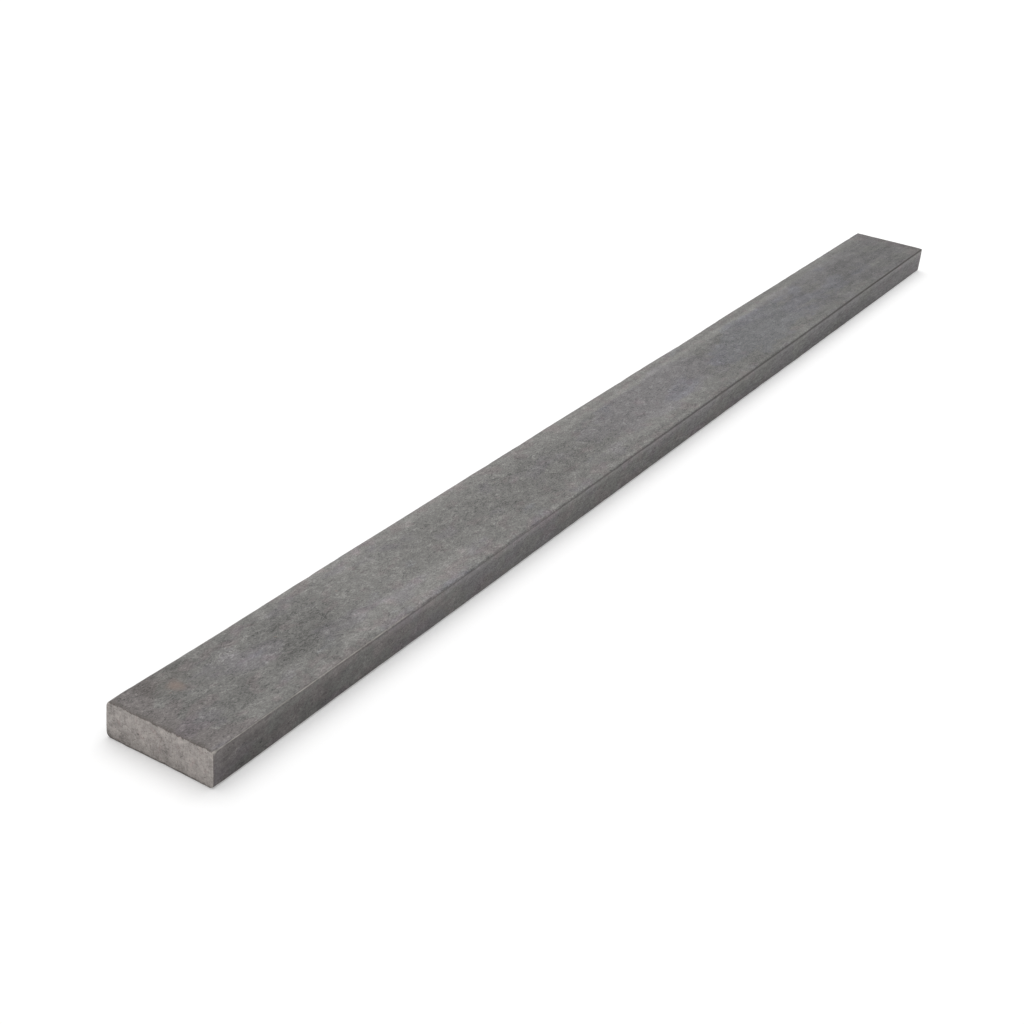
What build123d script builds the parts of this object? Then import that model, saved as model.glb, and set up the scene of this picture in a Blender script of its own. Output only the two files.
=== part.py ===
"""Hot-rolled steel flat bar: one solid piece of stock, 25 x 8 mm in section and 375 mm long.

X runs along the bar, Y across its width and Z up through its thickness. The origin is in the middle
of the underside, so that the bar lies flat on the plane Z = 0.
"""

import os

from build123d import *

# Driving dimensions, in millimetres.
BAR_LENGTH = 375.0
BAR_WIDTH = 25.0  # overall, from crown to crown of the two narrow edges
BAR_THICKNESS = 8.0
CORNER_RADIUS = 0.9  # the four long corners, left slightly round by the rolls
EDGE_CROWN_RADIUS = 40.0  # the narrow edges bulge outwards between their corners


def rolled_section():
    """The section that the rolls leave: flat broad faces, crowned narrow edges and rounded corners."""
    blank = Rectangle(BAR_WIDTH, BAR_THICKNESS)
    crown_centre = BAR_WIDTH / 2 - EDGE_CROWN_RADIUS
    for side in (-1, 1):
        blank &= Pos(side * crown_centre, 0) * Circle(EDGE_CROWN_RADIUS)
    return fillet(blank.vertices(), CORNER_RADIUS)


def flat_bar():
    """The section carried along X and cut square by the saw at both ends, which stay sharp."""
    bar = extrude(Plane.YZ * rolled_section(), amount=BAR_LENGTH / 2, both=True)
    return Pos(0, 0, BAR_THICKNESS / 2) * bar


os.makedirs("parts", exist_ok=True)
bar = flat_bar()
bar.label = "flat_bar"
export_step(bar, "parts/flat_bar.step")
print("flat_bar", bar.bounding_box().size, "volume", round(bar.volume, 1), "mm3")
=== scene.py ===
"""Hot-rolled steel flat bar, finished: mill scale on the rolled faces, worn corners, bare sawn ends.

Shapes are worked out in millimetres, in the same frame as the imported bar: X runs along it, Y across its
width and Z up through its thickness, from the middle of its underside. Meshes are written in metres.
"""

import math

import bpy
import numpy as np
from mathutils import Matrix, Vector


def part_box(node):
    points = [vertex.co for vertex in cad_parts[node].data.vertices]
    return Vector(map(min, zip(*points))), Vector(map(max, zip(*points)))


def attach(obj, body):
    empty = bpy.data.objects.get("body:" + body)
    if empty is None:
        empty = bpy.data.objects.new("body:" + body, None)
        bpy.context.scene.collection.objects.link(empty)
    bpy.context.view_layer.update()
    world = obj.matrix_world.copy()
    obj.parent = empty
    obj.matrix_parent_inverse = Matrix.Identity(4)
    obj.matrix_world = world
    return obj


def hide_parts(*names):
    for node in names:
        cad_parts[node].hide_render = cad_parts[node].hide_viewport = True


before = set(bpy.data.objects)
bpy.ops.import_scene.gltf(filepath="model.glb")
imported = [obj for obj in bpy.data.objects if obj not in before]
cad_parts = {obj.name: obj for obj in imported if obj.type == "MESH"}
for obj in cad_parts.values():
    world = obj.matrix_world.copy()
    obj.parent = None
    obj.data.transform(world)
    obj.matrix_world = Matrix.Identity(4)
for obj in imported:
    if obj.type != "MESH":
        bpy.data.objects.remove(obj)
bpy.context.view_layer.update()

MM = 0.001
LOW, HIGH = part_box("flat_bar")
# The crowned narrow edges come in as chords, so each side is rounded back to whole millimetres.
BAR_LENGTH, BAR_WIDTH, BAR_THICKNESS = (round((b - a) / MM) for a, b in zip(LOW, HIGH))
HALF_LENGTH = BAR_LENGTH / 2
HALF_WIDTH = BAR_WIDTH / 2
HALF_THICKNESS = BAR_THICKNESS / 2

# The rolled section, in millimetres. Corners go round from bottom +Y, by the top, to bottom -Y.
# The narrow edges, +Y and -Y, are crowned: each one's radius, and the height where it stands out furthest.
EDGE_CROWNS = ((52.0, 1.4), (110.0, 3.5))
CORNER_RADII = (0.95, 1.0, 0.38, 0.7)
CORNER_WANDER = 0.10  # share by which a corner's radius drifts along the bar
CORNER_WAVES = (25, 90)  # the shortest and longest waves of that drift
CORNERS_APART = 31.0  # millimetres from one corner's drift to the next, so that they are unalike
NICKS = 11  # in each long corner
NICK_LENGTHS = (0.9, 2.2)
NICK_DEPTHS = (0.03, 0.15)
END_WEAR = (0.20, 0.20, 0.30, 0.28)  # how much more each corner is rounded beside the saw cut at -X
WEAR_REACH = 2.5
SHOULDER_DROP = 0.24  # how far the top falls towards its -Y corner
SHOULDER_REACH = 2.5
SHARPER = 0.5  # share of that rounding and falling that is left at the +X end
SHARPER_FROM = 40.0  # the place along X where they begin to lessen
SAW_ARRIS = 0.10  # the tiny flat left where the saw breaks through the skin

# The skin's relief: height, shortest and longest wave, and how far it is drawn out along X.
SKIN_RELIEF = (
    (0.022, (25, 70), 1),  # roll waviness
    (0.010, (1.8, 6), 22),  # faint rolling lines
    (0.011, (2.6, 8), 1),  # uneven thickness of the scale
)
PRESSED_FLAT = 0.015  # relief above this height is pressed flat by the rolls
PITS = 300
PIT_REACHES = (0.8, 1.7)
PIT_DEPTHS = (0.015, 0.05)

# The saw's lines on the ends, and the cut's own relief: height, and shortest and longest wave.
SAW_PITCH = 1.25
SAW_LEAN = 0.12  # how far a line goes sideways for each millimetre up
SAW_DEPTH = 0.012
SAW_WANDER = (2.0, (6, 14))  # how far the lines wander, and the shortest and longest wave of that
SAW_FADING = (1.5, (5, 16))  # how sharply they come and go, and its shortest and longest wave
CUT_RELIEF = ((0.016, (1.4, 4)), (0.02, (8, 20)))

# How finely the skin is divided.
CORNER_STEPS = 10
EDGE_STEPS = 18
FACE_STEPS = 56
PLACES_TRIED = 20001  # fine steps that the stations' gaps are added up over
MIDDLE_GAP = 0.95  # millimetres between stations along the middle
END_GAP = 0.30  # and beside the sawn ends
END_ZONE = 5.0  # the gap grows over about this distance
SHARP_ANGLE = 32.0  # degrees between faces past which their edge is drawn sharp

# The skin's map, in shares of its side: strips that lie one above the other, and the ends above them.
STRIPS = 3
STRIP_CORNER = 0.01
STRIP_LENGTH = 0.98
STRIP_STEP = 0.305
STRIP_HEIGHT = 0.295
END_CORNER = (0.02, 0.935)
END_STEP = 0.30
END_SIZE = (0.26, 0.052)


# ---------------------------------------------------------------- relief

def swell(points, wavelengths, seed, stretch=(1, 1, 1), count=28):
    """Smooth random relief at each point, mostly between -1 and 1.

    It is the sum of cosine waves that cross space in seeded directions, with wavelengths spread evenly
    between the two given, divided by the square root of half their number. stretch divides each axis
    first, so that a stretch along X draws the relief out along the bar.
    """
    rng = np.random.default_rng(seed)
    ways = rng.normal(size=(count, 3))
    ways /= np.linalg.norm(ways, axis=1, keepdims=True)
    lengths = np.linspace(*wavelengths, count)
    phases = rng.uniform(0, 2 * math.pi, count)
    turns = 2 * math.pi * (points / np.array(stretch)) @ (ways / lengths[:, None]).T
    return np.cos(turns + phases).sum(-1) / math.sqrt(count / 2)


def pits(points, number, seed):
    """Depth of the shallow pits where scale was rolled in: seeded round hollows, each a bell curve of
    its distance from the pit's middle, with the deepest taken where they overlap."""
    rng = np.random.default_rng(seed)
    spots = points.reshape(-1, 3)
    middles = spots[rng.integers(0, len(spots), number)]
    reach = rng.uniform(*PIT_REACHES, number)
    depth = rng.uniform(*PIT_DEPTHS, number)
    depths = np.zeros(len(spots))
    for middle, size, deepest in zip(middles, reach, depth):
        near = np.abs(spots[:, 0] - middle[0]) < 3 * size
        distance = np.linalg.norm(spots[near] - middle, axis=1)
        depths[near] = np.maximum(depths[near], deepest * np.exp(-(distance / size) ** 2))
    return depths.reshape(points.shape[:-1])


def softness(stations):
    """1 along most of the bar, falling in a straight line to SHARPER over the last part towards +X."""
    return np.interp(stations, (SHARPER_FROM, HALF_LENGTH), (1, SHARPER))


def corner_radius(stations, mean, wear, seed):
    """Radius of one long corner along the bar: its mean, a slow drift, wear beside the cut at -X, and
    seeded nicks that widen it, each a bell curve along X."""
    rng = np.random.default_rng(seed)
    line = np.stack([stations, np.full_like(stations, CORNERS_APART * seed), np.zeros_like(stations)], -1)
    radius = mean * softness(stations) * (1 + CORNER_WANDER * swell(line, CORNER_WAVES, seed))
    radius += wear * np.exp(-((HALF_LENGTH + stations) / WEAR_REACH) ** 2)
    for place in rng.uniform(-HALF_LENGTH, HALF_LENGTH, NICKS):
        length = rng.uniform(*NICK_LENGTHS)
        radius += rng.uniform(*NICK_DEPTHS) * np.exp(-((stations - place) / length) ** 2)
    return radius


# ---------------------------------------------------------------- the rolled skin

def station_places():
    """Places of the stations along X, in as many steps as the map's strips share evenly. The gap between
    them grows from the ends to the middle, as one less a falling exponential of the distance from the
    nearer end."""
    fine = np.linspace(-HALF_LENGTH, HALF_LENGTH, PLACES_TRIED)
    from_end = HALF_LENGTH - np.abs(fine)
    gap = MIDDLE_GAP - (MIDDLE_GAP - END_GAP) * np.exp(-from_end / END_ZONE)
    count = np.concatenate([[0], np.cumsum(np.diff(fine) / ((gap[1:] + gap[:-1]) / 2))])
    steps = round(count[-1] / STRIPS) * STRIPS
    return np.interp(np.linspace(0, count[-1], steps + 1), count, fine)


def rolled_rings(stations):
    """The section at each station, as an array of stations x ring points x (x, y, z).

    Each ring starts at the middle of the underside and goes by +Y, the top and -Y: a quarter circle at
    each corner, of that corner's own radius there, and straight runs between them. The narrow edges are
    then crowned by pulling Y in with the square of the height from the crown's own. Last, heights are
    shrunk near the -Y edge, as the square of the way into the shoulder, so that the top falls there.
    """
    signs = ((1, -1), (1, 1), (-1, 1), (-1, -1))
    quarter = np.linspace(0, math.pi / 2, CORNER_STEPS + 1)
    arcs = []
    for turn, ((side, level), mean, wear) in enumerate(zip(signs, CORNER_RADII, END_WEAR)):
        radius = corner_radius(stations, mean, wear, seed=turn + 3)[:, None]
        angle = quarter + (turn - 1) * math.pi / 2
        y = side * (HALF_WIDTH - radius) + radius * np.cos(angle)
        z = level * (HALF_THICKNESS - radius) + radius * np.sin(angle)
        arcs.append(np.stack([y, z], -1))
    start = np.zeros((len(stations), 1, 2))
    start[..., 1] = -HALF_THICKNESS
    corners = [start, *arcs, start]
    runs = (FACE_STEPS // 2, EDGE_STEPS, FACE_STEPS, EDGE_STEPS, FACE_STEPS // 2)
    pieces = []
    for before, after, steps in zip(corners, corners[1:], runs):
        share = np.linspace(0, 1, steps + 1)[1:-1, None]
        run = before[:, -1:] * (1 - share) + after[:, :1] * share
        pieces += [before, run]
    ring = np.concatenate(pieces, axis=1)
    height = ring[..., 1] + HALF_THICKNESS
    for side, (radius, crest) in zip((1, -1), EDGE_CROWNS):
        drawn_in = (height - crest) ** 2 / (2 * radius)
        ring[..., 0] *= 1 - np.where(side * ring[..., 0] > 0, drawn_in / HALF_WIDTH, 0)
    into_shoulder = np.clip((SHOULDER_REACH - HALF_WIDTH - ring[..., 0]) / SHOULDER_REACH, 0, 1)
    drop = SHOULDER_DROP * softness(stations)[:, None]
    height = height * (1 - drop / BAR_THICKNESS * into_shoulder ** 2)
    along = np.broadcast_to(stations[:, None], ring.shape[:2])
    return np.stack([along, ring[..., 0], height], -1)


def outward(rings):
    """Unit vectors that point out of each ring: the ring's own direction turned a quarter turn in YZ."""
    ahead = np.roll(rings, -1, axis=1) - np.roll(rings, 1, axis=1)
    normal = np.stack([np.zeros(ahead.shape[:2]), ahead[..., 2], -ahead[..., 1]], -1)
    return normal / np.linalg.norm(normal, axis=-1, keepdims=True)


def weathered_rings(stations):
    """The rings moved along their outward vectors by the skin's relief: the sum of its swells, less the
    pits. The rolls press flat all that would stand above the section. At both ends the arris is taken off."""
    rings = rolled_rings(stations)
    relief = np.zeros(rings.shape[:2])
    for seed, (height, waves, drawn_out) in enumerate(SKIN_RELIEF, start=11):
        relief += height * swell(rings, waves, seed, stretch=(drawn_out, 1, 1))
    relief -= pits(rings, PITS, seed=14)
    relief = np.minimum(relief - PRESSED_FLAT, 0)
    arris = SAW_ARRIS * np.isin(np.arange(len(stations)), (0, len(stations) - 1))
    return rings + outward(rings) * (relief - arris[:, None])[..., None]


# ---------------------------------------------------------------- the sawn ends

def saw_marks(points, seed):
    """How far the saw left each point of an end short of the full length.

    Fine lines, almost upright, are the cosine of the way across them with a slow swell added, so that
    they wander. Another swell, flattened to between 0 and 1, makes them come and go. The cut's own relief
    is added, and its highest point is at the full length.
    """
    y, z = points[..., 1], points[..., 2]
    flat = np.stack([np.zeros_like(y), y, z], -1)
    across = 2 * math.pi * (y + SAW_LEAN * z) / SAW_PITCH
    wander, wander_waves = SAW_WANDER
    fading, fading_waves = SAW_FADING
    lines = np.cos(across + wander * swell(flat, wander_waves, seed))
    strength = 0.5 + 0.5 * np.tanh(fading * swell(flat, fading_waves, seed + 1))
    cut = SAW_DEPTH * lines * strength
    for further, (height, waves) in enumerate(CUT_RELIEF, start=2):
        cut += height * swell(flat, waves, seed + further)
    return cut.max() - cut


def end_grid(ring):
    """A sheet that fills one end ring, rows from the underside up and columns from -Y to +Y.

    Its rim is the ring itself, split at the middle of each corner. Inside, it is the sum of the straight
    blends between the two rims across and the two rims up, less the blend of the four corners.
    Returns the sheet's points and, for its rim, the ring's own point numbers (inner points have -1).
    """
    count = len(ring)
    half_corner = CORNER_STEPS // 2
    wide = FACE_STEPS + CORNER_STEPS
    tall = EDGE_STEPS + CORNER_STEPS
    left_foot = FACE_STEPS // 2 + half_corner
    across, up = np.arange(wide + 1), np.arange(tall + 1)
    right_foot = left_foot + 2 * tall + wide
    number = np.full((tall + 1, wide + 1), -1)
    number[0] = (right_foot + across) % count
    number[-1] = right_foot - tall - across
    number[:, 0] = right_foot - up
    number[:, -1] = left_foot + up
    rim = ring[number]
    u = (across / wide)[None, :, None]
    v = (up / tall)[:, None, None]
    sheet = (1 - v) * rim[:1] + v * rim[-1:] + (1 - u) * rim[:, :1] + u * rim[:, -1:]
    sheet -= (1 - v) * ((1 - u) * rim[:1, :1] + u * rim[:1, -1:])
    sheet -= v * ((1 - u) * rim[-1:, :1] + u * rim[-1:, -1:])
    return sheet, number


# ---------------------------------------------------------------- the mesh

def edge_turn(count):
    """For each ring point, 0 on the wide faces, rising evenly round a corner to 1 on the narrow edges."""
    runs = np.tile((CORNER_STEPS, EDGE_STEPS, CORNER_STEPS, FACE_STEPS), 2)
    bends = FACE_STEPS // 2 + np.concatenate([[0], np.cumsum(runs[:-1])])
    return np.interp(np.arange(count), bends, (0, 1, 1, 0, 0, 1, 1, 0))


def strip_map(faces, stations, ring, ring_count):
    """Map places of the skin: the bar's length in strips, one above the other, each unrolled from the
    underside's middle right round. A face's last corner round the ring takes the full girth."""
    i, j = faces // ring_count, faces % ring_count
    steps = (len(stations) - 1) // STRIPS
    strip = np.minimum(i.min(axis=1) // steps, STRIPS - 1)[:, None]
    start = stations[strip * steps]
    lengthways = (stations[i] - start) / (stations[(strip + 1) * steps] - start)
    closed = np.vstack([ring, ring[:1]])
    girth = np.concatenate([[0], np.cumsum(np.linalg.norm(np.diff(closed, axis=0), axis=1))])
    wraps = (j == 0) & (j.max(axis=1, keepdims=True) == ring_count - 1)
    round_it = girth[np.where(wraps, ring_count, j)] / girth[-1]
    u = STRIP_CORNER + STRIP_LENGTH * lengthways
    return np.stack([u, STRIP_CORNER + STRIP_STEP * strip + STRIP_HEIGHT * round_it], -1)


def end_map(points, column):
    """Map places of an end: seen square on, beside the other end above the skin's strips."""
    u = END_CORNER[0] + END_STEP * column + END_SIZE[0] * (points[..., 1] / BAR_WIDTH + 0.5)
    return np.stack([u, END_CORNER[1] + END_SIZE[1] * points[..., 2] / BAR_THICKNESS], -1)


def write_piece(name, points, faces, places, turns, sawn_from, finishes):
    """Puts the arrays into a new piece. Faces from number sawn_from on take the second finish."""
    mesh = bpy.data.meshes.new(name)
    mesh.from_pydata((points * MM).tolist(), [], faces.tolist())
    layer = mesh.uv_layers.new(name="OFBake")
    layer.data.foreach_set("uv", places.astype(np.float32).ravel())
    attribute = mesh.attributes.new("edge_turn", "FLOAT", "POINT")
    attribute.data.foreach_set("value", turns.astype(np.float32))
    for finish in finishes:
        mesh.materials.append(finish)
    sawn = np.arange(len(faces)) >= sawn_from
    mesh.polygons.foreach_set("material_index", sawn.astype(np.int32))
    mesh.shade_smooth()
    mesh.set_sharp_from_angle(angle=math.radians(SHARP_ANGLE))
    mesh.update()
    piece = bpy.data.objects.new(name, mesh)
    bpy.context.scene.collection.objects.link(piece)
    return piece


def flat_bar_piece(scale_finish, sawn_finish):
    """One closed mesh: the rings joined into the rolled skin, and a sheet across each sawn end."""
    stations = station_places()
    rings = weathered_rings(stations)
    rows, ring_count = rings.shape[:2]
    turn = np.tile(edge_turn(ring_count), (rows, 1))

    number = np.arange(rows * ring_count).reshape(rows, ring_count)
    after = np.roll(number, -1, axis=1)
    skin = np.stack([number[:-1], after[:-1], after[1:], number[1:]], -1).reshape(-1, 4)
    maps = [strip_map(skin, stations, rings[rows // 2], ring_count)]
    points, faces, turns = [rings.reshape(-1, 3)], [skin], [turn.ravel()]
    total = rows * ring_count
    for column, (row, way) in enumerate(((0, 1), (rows - 1, -1))):
        sheet, rim = end_grid(rings[row])
        sheet[..., 0] += way * saw_marks(sheet, seed=21 + 10 * column)
        rim = np.where(rim < 0, -1, rim + row * ring_count)
        points[0][rim[rim >= 0]] = sheet[rim >= 0]
        inner = rim < 0
        rim[inner] = total + np.arange(inner.sum())
        total += int(inner.sum())
        points.append(sheet[inner])
        turns.append(np.zeros(inner.sum()))
        corners = [rim[:-1, :-1], rim[1:, :-1], rim[1:, 1:], rim[:-1, 1:]][::way]
        sheet_places = [sheet[:-1, :-1], sheet[1:, :-1], sheet[1:, 1:], sheet[:-1, 1:]][::way]
        faces.append(np.stack(corners, -1).reshape(-1, 4))
        maps.append(end_map(np.stack(sheet_places, 2).reshape(-1, 4, 3), column))
    arrays = (np.concatenate(parts) for parts in (points, faces, maps, turns))
    return write_piece("rolled_bar", *arrays, len(skin), (scale_finish, sawn_finish))


# ---------------------------------------------------------------- finishes

class Steps:
    """Shader steps in one node tree. Each method adds one step and returns its result; a, b and the like
    are numbers or earlier results."""

    def __init__(self, tree):
        self.tree = tree
        self.tree.nodes.clear()

    def add(self, kind, settings=None, **inputs):
        """One node. settings are its own fields, and inputs go to its sockets by name or number."""
        step = self.tree.nodes.new(kind)
        for field, value in (settings or {}).items():
            setattr(step, field, value)
        for socket, value in inputs.items():
            self.plug(step.inputs[int(socket[1:]) if socket[0] == "_" else socket.replace("_", " ")], value)
        return step

    def plug(self, socket, value):
        """Links an earlier result to the socket, or sets the socket to a plain value."""
        if isinstance(value, bpy.types.NodeSocket):
            self.tree.links.new(value, socket)
        else:
            socket.default_value = value

    def math(self, operation, a, b=0.0, c=0.0):
        return self.add("ShaderNodeMath", {"operation": operation}, _0=a, _1=b, _2=c).outputs[0]

    def times(self, a, b):
        return self.math("MULTIPLY", a, b)

    def total(self, *terms):
        """The sum of amount x result over the (amount, result) pairs."""
        result = 0.0
        for amount, term in terms:
            result = self.math("MULTIPLY_ADD", term, amount, result)
        return result

    def vector(self, operation, a, b=None, **inputs):
        """Maths on all three axes. A length or a distance is a number, and the rest are vectors."""
        step = self.add("ShaderNodeVectorMath", {"operation": operation}, _0=a, **inputs)
        if b is not None:
            self.plug(step.inputs[1], b)
        return step.outputs["Value" if operation in ("LENGTH", "DISTANCE") else "Vector"]

    def ramp(self, value, start, end, low=0.0, high=1.0):
        """Smoothly from low at start to high at end."""
        settings = {"interpolation_type": "SMOOTHSTEP"}
        inputs = {"Value": value, "From_Min": start, "From_Max": end, "To_Min": low, "To_Max": high}
        return self.add("ShaderNodeMapRange", settings, **inputs).outputs[0]

    def mix(self, amount, a, b):
        """Colour a, turning into colour b as amount goes from 0 to 1."""
        return self.add("ShaderNodeMix", {"data_type": "RGBA"}, _0=amount, _6=a, _7=b).outputs[2]


class Finish(Steps):
    """A finish in the making, on Object coordinates in millimetres."""

    def __init__(self, name):
        self.material = bpy.data.materials.new(name)
        self.material.use_nodes = True
        super().__init__(self.material.node_tree)
        place = self.add("ShaderNodeTexCoord").outputs["Object"]
        self.mm = self.vector("SCALE", place, Scale=1 / MM)
        self.x, self.y, self.z = self.add("ShaderNodeSeparateXYZ", Vector=self.mm).outputs

    def turned(self, degrees):
        """The place, turned about Z."""
        if not degrees:
            return self.mm
        inputs = {"Vector": self.mm, "Angle": math.radians(degrees)}
        return self.add("ShaderNodeVectorRotate", {"rotation_type": "Z_AXIS"}, **inputs).outputs[0]

    def cloud(self, size, shift=0.0, stretch=(1, 1, 1), turn=0.0, detail=2.0, roughness=0.5, swirl=0.0):
        """Soft random patches about as big as size, centred on 0: drawn out by stretch, turned by turn
        degrees about Z, and curled by swirl. shift moves them, so that no two clouds are alike."""
        stretched = self.vector("DIVIDE", self.turned(turn), tuple(size * s for s in stretch))
        place = self.vector("ADD", stretched, (shift, 1.7 * shift, 0.6 * shift))
        inputs = {"Scale": 1.0, "Detail": detail, "Roughness": roughness, "Distortion": swirl}
        noise = self.add("ShaderNodeTexNoise", Vector=place, **inputs)
        return self.math("SUBTRACT", noise.outputs[0], 0.5)

    def near(self, x, y, z, reach, edge, ragged=None):
        """1 around a place and 0 beyond, over a soft edge: distance with each axis divided by reach."""
        offset = self.vector("SUBTRACT", self.mm, (x, y, z))
        distance = self.vector("LENGTH", self.vector("DIVIDE", offset, reach))
        if ragged is not None:
            distance = self.math("ADD", distance, ragged)
        return self.ramp(distance, 1 + edge, 1 - edge)

    def surface(self, colour, roughness, height, depth, metallic):
        """Joins the results to a surface. height times depth, in millimetres, is the bump."""
        bump = self.add("ShaderNodeBump", Strength=1.0, Distance=depth * MM, Height=height).outputs[0]
        inputs = {"Base_Color": colour, "Metallic": metallic, "Roughness": roughness, "Normal": bump}
        shader = self.add("ShaderNodeBsdfPrincipled", Specular_IOR_Level=SHEEN, **inputs)
        self.add("ShaderNodeOutputMaterial", Surface=shader.outputs[0])
        return self.material


# Marks on the top, in millimetres from the -X end and from the +Y edge: place along, place across,
# half length, half width, how much lighter (+) or darker (-), and how much more mauve and blue.
TOP_MARKS = (
    (12, 3.5, 13, 3.5, -0.10, 0.0, 0.0),
    (5, 13, 6, 13.0, -0.09, 0.0, 0.0),
    (15, 15, 9, 5.0, -0.10, 0.0, 0.0),
    (27, 10.8, 6, 4.0, 0.12, 0.16, 0.06),
    (39, 13, 11, 6.5, -0.21, 0.0, 0.0),
    (80, 0.3, 46, 2.6, 0.31, 0.0, 0.0),
    (62, 10.5, 11, 8.0, 0.09, 0.0, 0.0),
    (67, 20.5, 25, 3.8, 0.26, 0.0, 0.0),
    (126, 13, 20, 6.0, -0.10, 0.0, 0.0),
    (150, 15.5, 32, 3.5, -0.08, 0.0, 0.0),
    (128, 12, 40, 13.0, -0.03, 0.0, 0.0),
    (173, 19, 36, 2.2, 0.20, 0.0, 0.0),
    (228, 2.8, 112, 2.4, 0.28, -0.15, 0.0),
    (205, 2.9, 92, 0.75, -0.12, 0.0, 0.0),
    (262, 3.0, 36, 0.75, -0.08, 0.0, 0.0),
    (78, 4.0, 32, 1.4, 0.11, 0.0, 0.0),
    (232, 4.7, 70, 1.3, 0.10, 0.05, 0.0),
    (320, 5.2, 30, 1.6, 0.09, 0.08, 0.0),
    (345, 1.0, 44, 1.5, 0.22, 0.0, 0.0),
    (195, 12, 34, 7.0, 0.0, 0.32, 0.0),
    (232, 14, 24, 8.0, -0.10, 0.0, 0.12),
    (240, 22.5, 25, 2.8, -0.10, 0.0, 0.0),
    (258, 13, 28, 8.0, 0.0, 0.0, 0.32),
    (284, 15, 26, 4.0, -0.07, 0.0, 0.0),
    (312, 12, 24, 8.0, 0.0, 0.10, 0.16),
    (298, 11, 44, 0.8, -0.09, 0.0, 0.0),
    (345, 15, 32, 9.0, -0.18, 0.08, -0.06),
    (357, 22.5, 24, 3.0, -0.11, 0.0, 0.0),
    (371, 12, 9, 14.0, -0.08, 0.0, 0.0),
)

# Marks on the -Y edge: place along, height, half length, half height, how much lighter or darker.
EDGE_MARKS = (
    (147.5, 3.2, 80, 4.0, -0.07),
    (90, 4.0, 36, 8.0, 0.035),
    (93, 0.8, 40, 2.4, 0.050),
    (206, 7.0, 58, 2.4, 0.045),
    (234, 0.8, 24, 2.8, -0.090),
    (330, 0.8, 32, 2.2, 0.050),
)
MARK_DEPTH = 4.0  # how far a mark reaches into the face it is on

# Single places, and how far each one reaches.
SCUFF = (27 - HALF_LENGTH, 3.0, BAR_THICKNESS)
SCUFF_REACH = (7, 5, 4)
# a knocked tip at the near -Y top corner, painted bright, partly as a highlight
KNOCKED_AND_HIGHLIT_TIP = (0.3 - HALF_LENGTH, 0.25 - HALF_WIDTH, BAR_THICKNESS - 0.45)
KNOCK_AND_HIGHLIGHT_REACH = (0.6, 0.35, 0.3)
BURNT_SPOT = (10.5 - HALF_LENGTH, HALF_WIDTH - 4.5, BAR_THICKNESS)
BURNT_REACH = (6, 3, 3)
RUST_SPOT = (11.0 - HALF_LENGTH, HALF_WIDTH - 6.5, BAR_THICKNESS)
RUST_REACH = (1.2, 1.3, 3)

# The scale's tones towards -X and towards +X, the stains' shifts of them, and the tones laid over them.
WARM_TONE = (0.1620, 0.1590, 0.1520, 1.0)
DARK_TONE = (0.1225, 0.1210, 0.1150, 1.0)
MAUVE_SHIFT = (0.0, -0.02, 0.035)
PINK_SHIFT = (0.03, -0.03, -0.01)
BLUE_SHIFT = (-0.03, -0.01, 0.065)
RUST_TONE = (0.255, 0.188, 0.160, 1.0)
# bare steel where the scale is worn off, also used for the painted highlight along the corners
WORN_AND_HIGHLIGHT_TONE = (0.43, 0.405, 0.375, 1.0)
DARK_LINE_TONE = (0.044, 0.038, 0.035, 1.0)
# burnt scale, also used for the painted contact shade along the foot of the sawn ends
BURNT_AND_SHADE_TONE = (0.075, 0.062, 0.050, 1.0)

# The sawn ends' tones, and what else the surfaces need. Bumps are in millimetres.
SAWN_TONE = (0.372, 0.343, 0.325, 1.0)
SAWN_PINK = (0.378, 0.312, 0.298, 1.0)
SHEEN = 0.2
SCALE_BUMP = 0.05
SCALE_METAL = 0.35
SAWN_BUMP = 0.04
SAWN_METAL = 0.55


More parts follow.
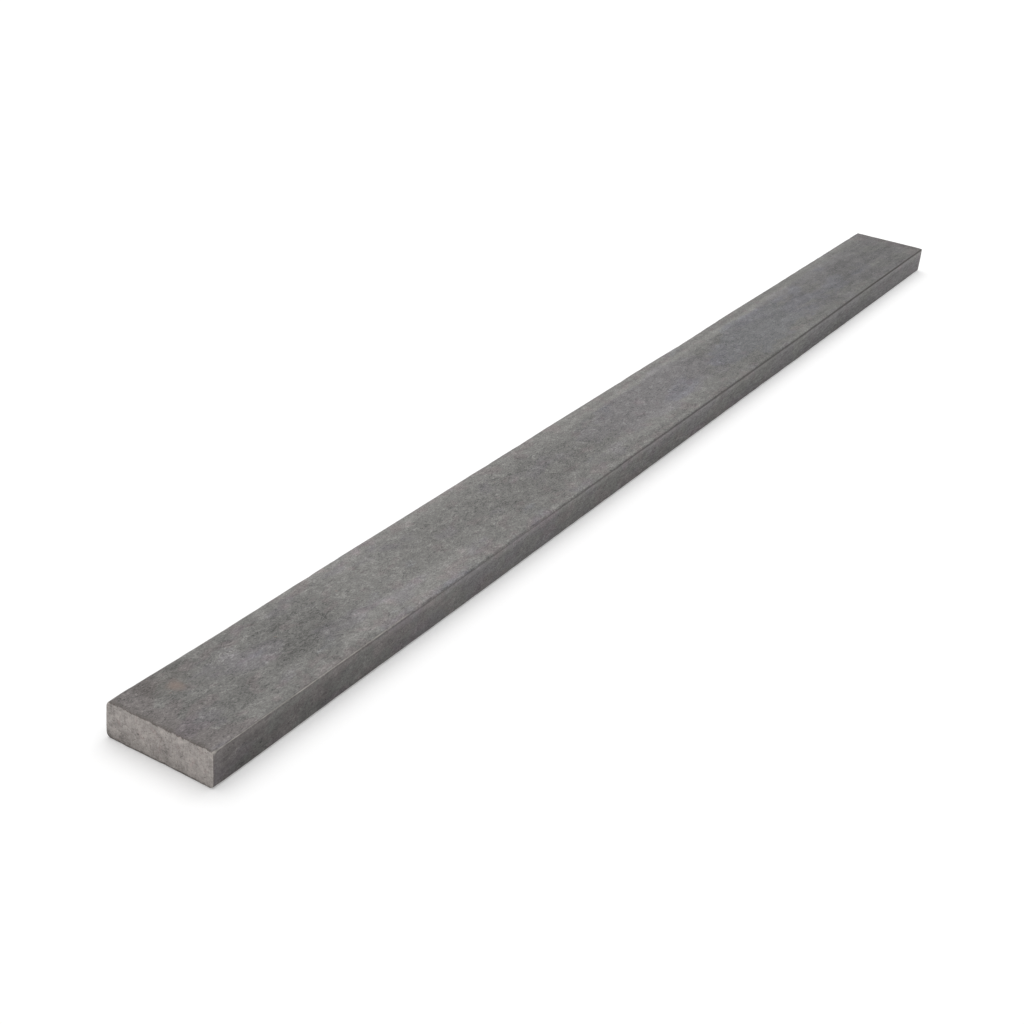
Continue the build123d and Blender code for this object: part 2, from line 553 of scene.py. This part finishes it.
class MillScale(Finish):
    """Grey oxide skin: warm and mottled towards -X, darker and smoother towards +X.

    What several parts of it need is worked out first. turn is 0 on the wide faces and 1 on the narrow
    edges. along goes from 0 towards -X to 1 towards +X. from_cut is the way from the nearer sawn end.
    ragged and patchy make borders uneven. The other clouds are named for how they look.
    """

    def __init__(self):
        super().__init__("mill_scale")
        self.turn = self.add("ShaderNodeAttribute", {"attribute_name": "edge_turn"}).outputs["Fac"]
        self.on_edge = self.ramp(self.turn, 0.6, 1.0)
        drift = self.cloud(30, 4.0, stretch=(1.6, 1, 1))
        self.along = self.ramp(self.total((1.0, self.x), (130.0, drift)), -60, 150)
        self.from_cut = self.math("SUBTRACT", HALF_LENGTH, self.math("ABSOLUTE", self.x))
        self.ragged = self.total((1.1, self.cloud(3.0, 8.0, detail=3)))
        self.patchy = self.cloud(5.0, 12.0, stretch=(4, 1, 1), detail=3)
        self.clouds = self.cloud(10, 2.0, stretch=(2.2, 1, 1), detail=2)
        self.blotches = self.cloud(2.6, 3.0, stretch=(1.6, 1, 1), detail=3, roughness=0.6, swirl=0.6)
        self.mottle = self.cloud(0.70, 5.0, stretch=(2.0, 1, 1), detail=3, roughness=0.68, swirl=1.6)
        self.grain = self.cloud(0.24, 6.0, stretch=(1.3, 1, 1), detail=2)
        self.streaks = self.cloud(1.2, 7.0, stretch=(36, 1, 1), detail=2)
        self.curls = self.curled_scratches()
        self.worn_and_highlight = self.corner_wear_and_highlight()

    def curled_scratches(self):
        """Light hair-thin curls where the scale is blotched light, fainter towards +X."""
        curls = self.math("ABSOLUTE", self.cloud(1.3, 36.0, stretch=(1.5, 1, 1), detail=2, swirl=1.5))
        curls = self.times(self.ramp(curls, 0.05, 0.0), self.ramp(self.blotches, -0.02, 0.13, 0.06, 1.0))
        return self.times(curls, self.ramp(self.x, -60, 60, 1.0, 0.6))

    def dark_nicks(self):
        """Dark hair-thin nicks in scattered patches, fainter towards +X."""
        nicks = self.math("ABSOLUTE", self.cloud(1.0, 41.0, stretch=(1.6, 1, 1), detail=1, swirl=1.8))
        patches = self.ramp(self.cloud(1.8, 42.0, detail=2), 0.03, 0.16)
        nicks = self.times(self.ramp(nicks, 0.045, 0.0), patches)
        return self.times(nicks, self.ramp(self.x, -40, 100, 1.0, 0.3))

    def corner_wear_and_highlight(self):
        """The bright line along the long corners near the -X end: partly scale worn off, partly a painted
        highlight on the rounded corner.
        """
        worn_and_highlight = self.ramp(self.total((1.0, self.x), (80.0, self.patchy)), -116, -144, 0.0, 0.8)
        from_arris = self.math("ABSOLUTE", self.math("SUBTRACT", self.turn, 0.50))
        return self.times(worn_and_highlight, self.ramp(from_arris, 0.26, 0.08))

    def texture(self):
        """Light and dark, as shares of the tone, from broad clouds down to grain and scratches."""
        smears = self.cloud(3.6, 35.0, stretch=(4, 1, 1), turn=6, detail=3)
        edge_on = self.times(self.on_edge, self.ramp(self.x, -140, 0))
        fading = self.ramp(self.x, -150, -60, 0.84, 0.93)
        fine = self.total((1.0, fading), (-0.20, self.on_edge), (0.05, edge_on))
        finest = self.times(fine, self.ramp(self.x, -165, -115, 0.65, 1.0))
        edge_grain = self.cloud(0.45, 37.0, stretch=(6, 1, 1), detail=2)
        edge_grain = self.times(edge_grain, self.ramp(self.x, -20, 130, 1.0, 1.6))
        blotched = self.ramp(self.x, -150, -90, 0.76, 0.42)
        uneven = self.total((1.0, blotched), (0.22, self.ramp(self.x, -20, 40)))
        uneven = self.times(uneven, self.ramp(self.on_edge, 0.0, 1.0, 1.0, 0.65))
        scuffed = self.near(*SCUFF, SCUFF_REACH, 0.5, self.ragged)
        scratch_a = self.ramp(self.cloud(0.26, 31.0, stretch=(5, 1, 1), turn=34, detail=1), 0.12, 0.24)
        scratch_b = self.ramp(self.cloud(0.26, 32.0, stretch=(5, 1, 1), turn=-28, detail=1), 0.13, 0.25)
        specks = self.ramp(self.cloud(0.55, 33.0, detail=2, swirl=0.8), -0.10, -0.22)
        return [
            (0.45, self.clouds),
            (1.0, self.times(self.blotches, uneven)),
            (0.90, self.times(smears, self.along)),
            (2.40, self.times(self.mottle, fine)),
            (1.60, self.times(self.grain, finest)),
            (1.0, self.times(edge_grain, edge_on)),
            (0.58, self.times(self.curls, fine)),
            (-0.45, self.dark_nicks()),
            (0.35, self.times(self.curls, scuffed)),
            (0.45, self.times(self.streaks, self.ramp(self.along, 0.0, 1.0, 0.3, 1.0))),
            (0.30, self.times(scratch_a, fine)),
            (0.30, self.times(scratch_b, fine)),
            (-0.09, self.times(specks, finest)),
        ]

    def top_marks(self):
        """What the marks on the top add to the light, to the mauve and to the blue."""
        softly = self.total((0.5, self.ragged))
        sums = ([], [], [])
        for place, over, half_length, half_width, *amounts in TOP_MARKS:
            reach = (half_length, half_width, MARK_DEPTH)
            mark = self.near(place - HALF_LENGTH, HALF_WIDTH - over, BAR_THICKNESS, reach, 0.5, softly)
            for terms, amount in zip(sums, amounts):
                if amount:
                    terms.append((amount, mark))
        return sums

    def painted_strip_highlight(self):
        """A strip of painted highlight on the top, beside the -Y corner, that turns to painted shade towards
        both ends.
        """
        # painted highlight beside the -Y corner
        strip = self.times(self.ramp(self.y, -10.4, -11.4), self.ramp(self.y, -12.5, -12.1))
        further_on = self.ramp(self.x, 90, 150, 0.08, -0.05)
        amount = self.total((1.0, further_on), (-0.07, self.ramp(self.x, -90, -115)))
        return self.times(strip, amount)

    def edge_painted_light_and_marks(self):
        """The narrow edges, with painted light and shade: painted lighter above and darker by the foot,
        darkest near -X and lightest near +X, where the foot is painted lit too, with painted highlights just
        under the corner and beside the sawn ends. The marks from EDGE_MARKS are the edge's own lighter and
        darker tones."""
        # painted light on the upper part of the edge, less of it near -X
        painted_upper_light = self.times(self.ramp(self.z, 5.6, 6.7), self.ramp(self.x, -160, -80, 0.7, 1.0))
        terms = [
            # painted shade: darker towards the foot, lighter higher up
            (1.0, self.ramp(self.z, 0.5, 6.0, -0.06, 0.065)),
            (0.32, painted_upper_light),
            (0.12, self.times(painted_upper_light, self.ramp(self.x, 80, 140))),
            # painted highlight just under the dark line at the corner
            (0.07, self.ramp(self.z, 6.4, 7.0)),
        ]
        for place, height, half_length, half_height, lighter in EDGE_MARKS:
            reach = (half_length, MARK_DEPTH, half_height)
            terms.append((lighter, self.near(place - HALF_LENGTH, -HALF_WIDTH, height, reach, 0.4)))
        # painted light on the foot near +X, and a painted highlight beside each sawn end
        painted_lit_foot = self.times(self.ramp(self.z, 3.0, 0.8), self.ramp(self.x, 120, 175))
        painted_highlight_beside_cut = self.ramp(self.total((1.0, self.from_cut), (-0.25, self.z)), 1.5, 0.5)
        terms += [
            # painted shade near -X and painted light near +X
            (-0.18, self.ramp(self.x, -115, -175)),
            (0.22, self.ramp(self.x, 130, 183)),
            (0.16, painted_highlight_beside_cut),
            (0.12, painted_lit_foot),
        ]
        return self.times(self.on_edge, self.total(*terms))

    def tint(self, more_mauve, more_blue):
        """The stains' shift of the tone, for each kind from its own cloud and where it tends to be."""
        mauve = [(1.0, self.cloud(6.0, 9.0, stretch=(2.2, 1, 1), detail=3, roughness=0.6))]
        mauve += [(0.06, self.on_edge), (0.09, self.along)]
        blue = [(1.0, self.cloud(9.0, 10.0, stretch=(2.5, 1, 1), detail=3, roughness=0.6))]
        blue += [(-0.10, self.on_edge), (1.0, -0.04)]
        pink = [(1.0, self.cloud(3.5, 13.0, stretch=(1.8, 1, 1), detail=3, roughness=0.6))]
        pink.append((-0.08, self.along))
        across = self.math("ABSOLUTE", self.y)
        pink.append((0.09, self.ramp(self.total((1.0, across), (2.0, self.ragged)), 7.5, 10.5)))
        pink.append((0.12, self.ramp(self.total((1.0, self.from_cut), (8.0, self.ragged)), 14, 6)))
        pink.append((0.16, self.ramp(self.total((1.0, self.from_cut), (3.0, self.ragged)), 5.5, 2)))
        tint = (1, 1, 1)
        stains = ((mauve + more_mauve, MAUVE_SHIFT), (pink, PINK_SHIFT), (blue + more_blue, BLUE_SHIFT))
        for stain, shift in stains:
            strength = self.ramp(self.total(*stain), 0.05, 0.16)
            tint = self.vector("MULTIPLY_ADD", strength, shift, _2=tint)
        return tint

    def with_worn_and_highlit_corners(self, colour):
        """The long corners: a bright line near the -X end, partly worn-off scale and partly painted
        highlight, and a bright tip, partly knocked and partly painted highlight.
        """
        broken = self.ramp(self.cloud(1.1, 16.0, stretch=(2.5, 1, 1), detail=2), -0.10, 0.12, 0.45, 1.0)
        colour = self.mix(self.times(self.worn_and_highlight, broken), colour, WORN_AND_HIGHLIGHT_TONE)
        knock_and_highlight = self.near(*KNOCKED_AND_HIGHLIT_TIP, KNOCK_AND_HIGHLIGHT_REACH, 0.5)
        return self.mix(self.times(knock_and_highlight, 0.8), colour, WORN_AND_HIGHLIGHT_TONE)

    def with_dark_line(self, colour):
        """A dark line along the long corners, which widens and darkens further on."""
        further = self.ramp(self.total((1.0, self.x), (100.0, self.patchy)), -120, 60)
        furthest = self.ramp(self.x, 70, 150)
        line = self.ramp(self.total((1.0, self.turn), (0.28, further), (0.36, furthest)), 0.78, 1.0)
        over_top = self.times(furthest, self.ramp(self.y, -11.95, -12.25))
        line = self.math("MAXIMUM", line, over_top)
        lower = self.total((1.0, self.z), (0.15, further), (-0.40, furthest))
        line = self.times(line, self.ramp(lower, 7.10, 7.35))
        starts = self.ramp(self.total((1.0, self.x), (60.0, self.patchy)), -168, -125, 0.07, 0.48)
        line = self.times(line, self.total((1.0, starts), (0.22, further), (0.16, furthest)))
        return self.mix(line, colour, DARK_LINE_TONE)

    def with_rust(self, colour):
        """One faint rust spot on the top, scattered specks, and a burnt rim along each saw cut."""
        burnt = self.near(*BURNT_SPOT, BURNT_REACH, 0.7, self.ragged)
        colour = self.mix(self.times(burnt, 0.20), colour, BURNT_AND_SHADE_TONE)
        rust = self.near(*RUST_SPOT, RUST_REACH, 0.9, self.total((1.6, self.ragged)))
        colour = self.mix(self.times(rust, 0.50), colour, RUST_TONE)
        specks = self.ramp(self.cloud(1.3, 15.0, detail=1), 0.27, 0.32, 0.0, 0.5)
        colour = self.mix(specks, colour, RUST_TONE)
        off_edge = self.ramp(self.on_edge, 0.0, 1.0, 1.0, 0.0)
        off_worn_and_highlight = self.times(off_edge, self.ramp(self.worn_and_highlight, 0.0, 0.6, 1.0, 0.0))
        for reach, amount in ((4.5, 0.10), (1.3, 0.30)):
            ragged_way = self.total((1.0, self.from_cut), (1.2 * reach ** 0.5, self.ragged))
            rim = self.ramp(ragged_way, reach, 0.0, 0.0, amount)
            colour = self.mix(self.times(rim, off_worn_and_highlight), colour, BURNT_AND_SHADE_TONE)
        return colour


def mill_scale():
    """The finish of the rolled faces: the tone along the bar, stained, lightened and darkened, partly with
    painted light and shade on the narrow edges and the top's -Y strip, and then the worn and highlit corners,
    the dark line and the rust over it."""
    skin = MillScale()
    more_light, more_mauve, more_blue = skin.top_marks()
    # the texture and marks, with the painted highlight strip and the narrow edges' painted light and shade
    light = skin.texture() + more_light + [(1.0, skin.painted_strip_highlight()), (1.0, skin.edge_painted_light_and_marks())]
    brightness = skin.math("ADD", skin.total(*light), 1.0)
    colour = skin.mix(skin.along, WARM_TONE, DARK_TONE)
    colour = skin.vector("MULTIPLY", colour, skin.tint(more_mauve, more_blue))
    colour = skin.vector("SCALE", colour, Scale=brightness)
    colour = skin.with_rust(skin.with_dark_line(skin.with_worn_and_highlit_corners(colour)))
    shine = skin.total((0.40, skin.mottle), (0.25, skin.clouds), (-0.04, skin.along))
    roughness = skin.math("ADD", shine, 0.60)
    height = skin.total((1.0, skin.mottle), (0.35, skin.grain), (0.4, skin.curls), (0.3, skin.streaks))
    return skin.surface(colour, roughness, height, SCALE_BUMP, SCALE_METAL)


def sawn_steel():
    """Bare steel cut by the saw: paler and warmer, mottled, with faint upright lines, dark specks, a burnt
    edge above, a dark rim below that is partly burnt and partly painted contact shade, and painted shade
    towards the foot."""
    cut = Finish("sawn_steel")
    mottle = cut.cloud(0.8, 21.0, detail=4, roughness=0.7, swirl=0.8)
    blotches = cut.cloud(2.2, 27.0, detail=2, swirl=0.6)
    grain = cut.cloud(0.25, 22.0, detail=2)
    lines = cut.cloud(0.32, 23.0, stretch=(1, 1, 9), detail=2)
    clouds = cut.cloud(6.0, 24.0, detail=2)
    specks = cut.ramp(cut.cloud(0.5, 34.0, detail=2, swirl=0.8), -0.10, -0.22)
    light = [(1.5, mottle), (0.8, blotches), (0.7, grain), (0.35, lines), (0.4, clouds), (-0.42, specks)]
    # painted shade: the cut end darker towards its foot, where the floor shades it
    low = cut.ramp(cut.z, 3.5, 0.2, 0.0, 0.12)
    brightness = cut.math("SUBTRACT", cut.math("ADD", cut.total(*light), 1.0), low)
    brightness = cut.math("ADD", brightness, cut.ramp(cut.y, 2.0, -12.0, 0.0, 0.10))
    pink = cut.ramp(cut.cloud(2.4, 25.0, detail=2), 0.08, 0.22, 0.0, 0.5)
    colour = cut.vector("SCALE", cut.mix(pink, SAWN_TONE, SAWN_PINK), Scale=brightness)
    ragged = cut.total((1.0, cut.cloud(1.4, 26.0, detail=3)), (1.0, cut.cloud(0.4, 28.0, detail=2)))
    rim = cut.ramp(cut.total((1.0, cut.z), (0.8, ragged)), 7.60, 7.80, 0.0, 0.7)
    colour = cut.mix(rim, colour, BURNT_AND_SHADE_TONE)
    # the dark rim at the foot: partly a burnt edge, partly painted contact shade
    foot = cut.ramp(cut.total((1.0, cut.z), (0.6, ragged)), 0.62, 0.15, 0.0, 0.75)
    colour = cut.mix(foot, colour, BURNT_AND_SHADE_TONE)
    roughness = cut.math("ADD", cut.total((0.3, mottle), (0.2, lines)), 0.5)
    height = cut.total((0.9, mottle), (0.4, grain), (0.8, lines))
    return cut.surface(colour, roughness, height, SAWN_BUMP, SAWN_METAL)


# ---------------------------------------------------------------- studio

# The floor, the sky and the lamp, in metres and watts.
FLOOR_HALF = 4.0
FLOOR_COLOUR = (0.88, 0.88, 0.88, 1)
WHITE = (1, 1, 1, 1)
WHITE_LIFT = 0.25  # added to the floor where it is seen, so that it reaches white away from the bar
LIFT_PLACES = (1000, 2400)  # in millimetres: the floor's own light fades there, and the lift grows to 1
SKY_LIGHT = 0.35
KEY_PLACE = (0.55, 0.45, 2.5)
KEY_SIZE = 3.2
KEY_POWER = 60.0

# The camera, in millimetres from the bar's foot corner at -X and -Y, and in degrees.
CAMERA_FROM_FOOT = (-163.03, -143.61, 170.32)
CAMERA_YAW = 29.084
CAMERA_PITCH = 27.657
CAMERA_ROLL = 5.497
LENS = 54.88
SENSOR = 36.0
NEAREST_SEEN = 10.0  # nothing closer to the camera is drawn


def seen_rays(steps):
    """1 for rays from the camera, from gloss and through glass, and 0 for light."""
    rays = steps.add("ShaderNodeLightPath").outputs
    seen = steps.math("MAXIMUM", rays["Is Camera Ray"], rays["Is Glossy Ray"])
    return steps.math("MAXIMUM", seen, rays["Is Transmission Ray"])


def floor_paper():
    """Almost white paper that keeps the bar's shadow. Where it is seen it is lifted, more so further away,
    so that it ends in plain white."""
    paper = Finish("floor_paper")
    lift = paper.ramp(paper.vector("LENGTH", paper.mm), *LIFT_PLACES, WHITE_LIFT, 1.0)
    matt = paper.add("ShaderNodeBsdfDiffuse", Color=FLOOR_COLOUR).outputs[0]
    glow = paper.add("ShaderNodeEmission", Strength=paper.times(seen_rays(paper), lift)).outputs[0]
    both = paper.add("ShaderNodeAddShader", _0=matt, _1=glow).outputs[0]
    paper.add("ShaderNodeOutputMaterial", Surface=both)
    return paper.material


def floor_piece():
    """A wide level square under the bar."""
    mesh = bpy.data.meshes.new("floor")
    signs = ((-1, -1), (1, -1), (1, 1), (-1, 1))
    mesh.from_pydata([(x * FLOOR_HALF, y * FLOOR_HALF, 0) for x, y in signs], [], [(0, 1, 2, 3)])
    mesh.materials.append(floor_paper())
    floor = bpy.data.objects.new("floor", mesh)
    bpy.context.scene.collection.objects.link(floor)
    return floor


def studio_sky():
    """Even light from all round, and plain white where it is seen."""
    world = bpy.data.worlds.new("studio_sky")
    bpy.context.scene.world = world
    world.use_nodes = True
    sky = Steps(world.node_tree)
    strength = sky.ramp(seen_rays(sky), 0, 1, SKY_LIGHT, 1.0)
    light = sky.add("ShaderNodeBackground", Color=WHITE, Strength=strength).outputs[0]
    sky.add("ShaderNodeOutputWorld", Surface=light)


def key_lamp():
    """One wide soft lamp overhead, a little behind the bar."""
    lamp = bpy.data.lights.new("key", "AREA")
    lamp.shape = "SQUARE"
    lamp.size = KEY_SIZE
    lamp.energy = KEY_POWER
    holder = bpy.data.objects.new("key", lamp)
    holder.location = KEY_PLACE
    holder.rotation_euler = (-Vector(KEY_PLACE)).to_track_quat("-Z", "Y").to_euler()
    bpy.context.scene.collection.objects.link(holder)


def aim_camera():
    """Looks along yaw and pitch, then turns by roll about that line."""
    yaw, pitch, roll = (math.radians(a) for a in (CAMERA_YAW, CAMERA_PITCH, CAMERA_ROLL))
    ahead = Vector((math.cos(yaw) * math.cos(pitch), math.sin(yaw) * math.cos(pitch), -math.sin(pitch)))
    level = Vector((math.sin(yaw), -math.cos(yaw), 0))
    up = level.cross(ahead)
    right = math.cos(roll) * level + math.sin(roll) * up
    above = math.cos(roll) * up - math.sin(roll) * level
    camera = bpy.data.cameras.new("camera")
    camera.sensor_width = SENSOR
    camera.lens = LENS
    camera.clip_start = NEAREST_SEEN * MM
    holder = bpy.data.objects.new("camera", camera)
    foot = Vector((-HALF_LENGTH, -HALF_WIDTH, 0))
    place = (foot + Vector(CAMERA_FROM_FOOT)) * MM
    turned = Matrix((right, above, -ahead)).transposed().to_4x4()
    holder.matrix_world = Matrix.Translation(place) @ turned
    bpy.context.scene.collection.objects.link(holder)
    bpy.context.scene.camera = holder


bar = flat_bar_piece(mill_scale(), sawn_steel())
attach(bar, "root")
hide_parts("flat_bar")

floor_piece()
studio_sky()
key_lamp()
aim_camera()
bpy.context.scene.view_settings.view_transform = "Standard"
